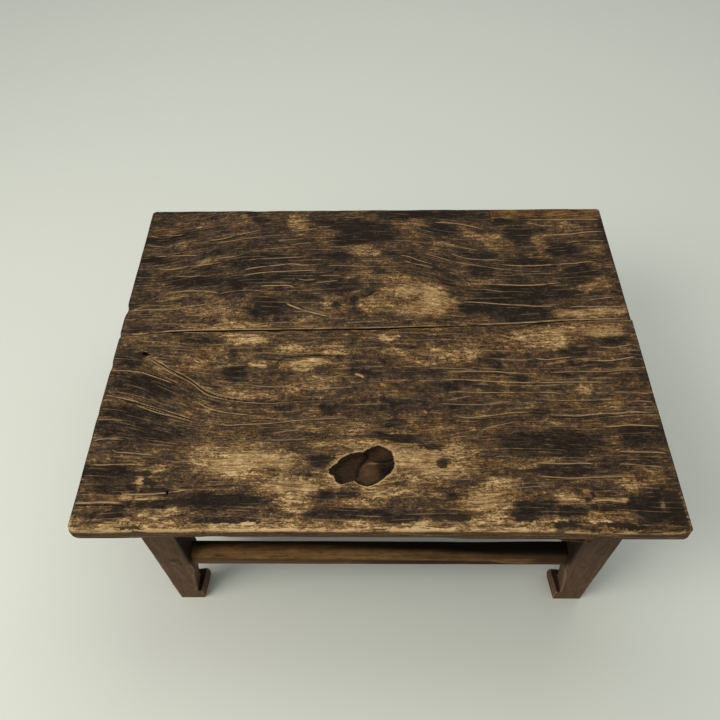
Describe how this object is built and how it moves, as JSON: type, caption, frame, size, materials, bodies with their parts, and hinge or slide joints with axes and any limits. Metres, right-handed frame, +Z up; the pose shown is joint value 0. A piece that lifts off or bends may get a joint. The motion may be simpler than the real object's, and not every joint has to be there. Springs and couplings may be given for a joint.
{
  "type": "kang table",
  "caption": "Low rustic table with a two-plank top, four hoof-footed legs tenoned through it, and rounded stretchers at half height.",
  "frame": {"origin": "on the floor under the middle of the top", "axes": "+X along the table's length to its right end, the knot hollow and front edge towards -Y, +Z up from the floor"},
  "size_m": [0.8, 0.606, 0.326],
  "materials": {
    "top_wood": "old dark lacquer, cracked along the grain and worn through to golden wood",
    "patch_wood": "waxed, rubbed",
    "leg_wood": "dull old lacquer",
    "stretcher_wood": "worn lacquer, rubbed golden where feet rest",
    "wedge_wood": "bare end grain",
    "batten_wood": "bare, darkened",
    "pin_wood": "bare"
  },
  "bodies": {
    "root": {"top_plank_front": "top_wood", "top_plank_back": "top_wood", "corner_patch": "patch_wood", "seam_pins": "pin_wood", "batten_left": "batten_wood", "batten_right": "batten_wood", "leg_front_left": "leg_wood", "leg_front_right": "leg_wood", "leg_back_left": "leg_wood", "leg_back_right": "leg_wood", "wedge_front_left": "wedge_wood", "wedge_front_right": "wedge_wood", "wedge_back_left": "wedge_wood", "wedge_back_right": "wedge_wood", "stretcher_front": "stretcher_wood", "stretcher_back": "stretcher_wood", "stretcher_left": "stretcher_wood", "stretcher_right": "stretcher_wood"}
  },
  "joints": []
}
